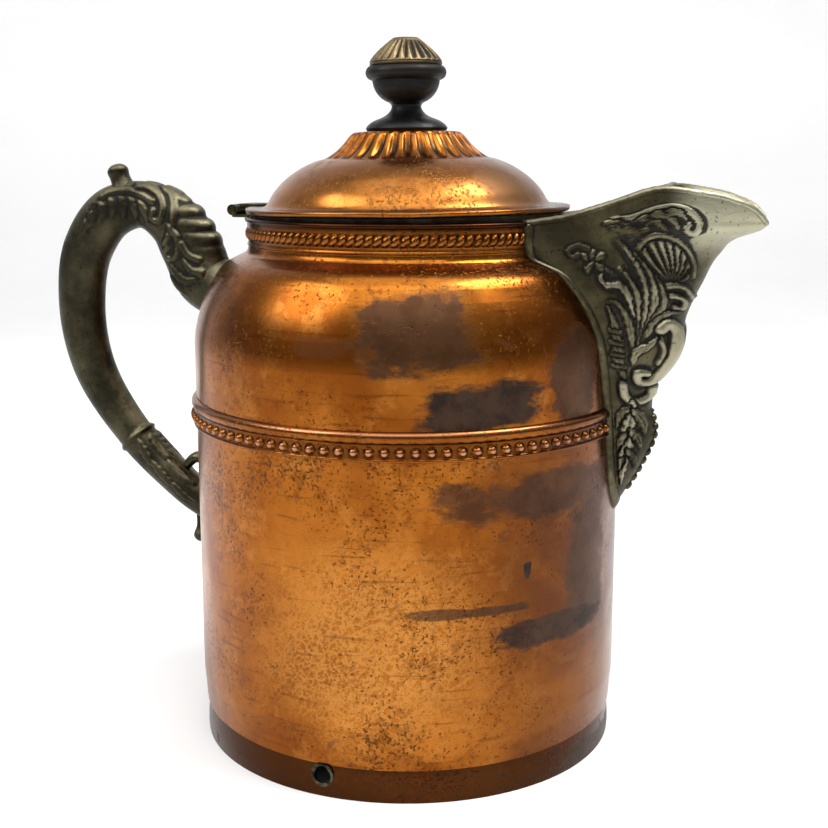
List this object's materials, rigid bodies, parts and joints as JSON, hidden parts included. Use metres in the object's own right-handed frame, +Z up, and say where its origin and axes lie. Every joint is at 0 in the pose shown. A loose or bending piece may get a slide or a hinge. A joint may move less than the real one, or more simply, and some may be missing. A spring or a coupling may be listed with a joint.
{
  "type": "coffee pot",
  "caption": "Straight-sided copper coffee pot with a beaded belt, domed hinged lid with a turned knob, cast open-lipped spout and cast loop handle.",
  "frame": {"origin": "on the pot's axis in the plane of the foot band's lower edge", "axes": "+X along the spout, -X along the handle, +Z up, +Y completes a right-handed frame"},
  "size_m": [0.2659, 0.1558, 0.2483],
  "materials": {
    "copper": "worn polished copper with brown tarnish",
    "tinned_copper": "tinned, dull",
    "white_metal": "tarnished cast white metal with worn highlights",
    "solder": "rough soft solder",
    "hinge_brass": "blackened brass",
    "black_wood": "ebonised and polished",
    "dark_wood": "dark stained",
    "bronze": "dark patinated, worn on the ridges",
    "steel": "dull"
  },
  "bodies": {
    "pot": {"lower_body": "copper", "foot_band": "copper", "bottom_plate": "tinned_copper", "shoulder_shell": "copper", "belt_band": "copper", "neck_collar": "copper", "spout": "white_metal", "spout_solder": "solder", "handle": "white_metal", "hinge_neck_leaf": "hinge_brass", "hinge_pin": "hinge_brass"},
    "lid": {"lid_shell": "copper", "lid_skirt": "tinned_copper", "hinge_lid_leaf": "hinge_brass", "knob_foot": "black_wood", "knob_bowl": "dark_wood", "knob_cap": "bronze", "knob_bolt": "steel", "knob_washer": "steel", "knob_nut": "steel"}
  },
  "joints": [
    {"name": "lid_hinge", "type": "hinge", "parent": "pot", "child": "lid", "pos_m": [-0.064, 0, 0.1888], "axis": [0, -1, 0], "range_deg": [0, 105]}
  ]
}
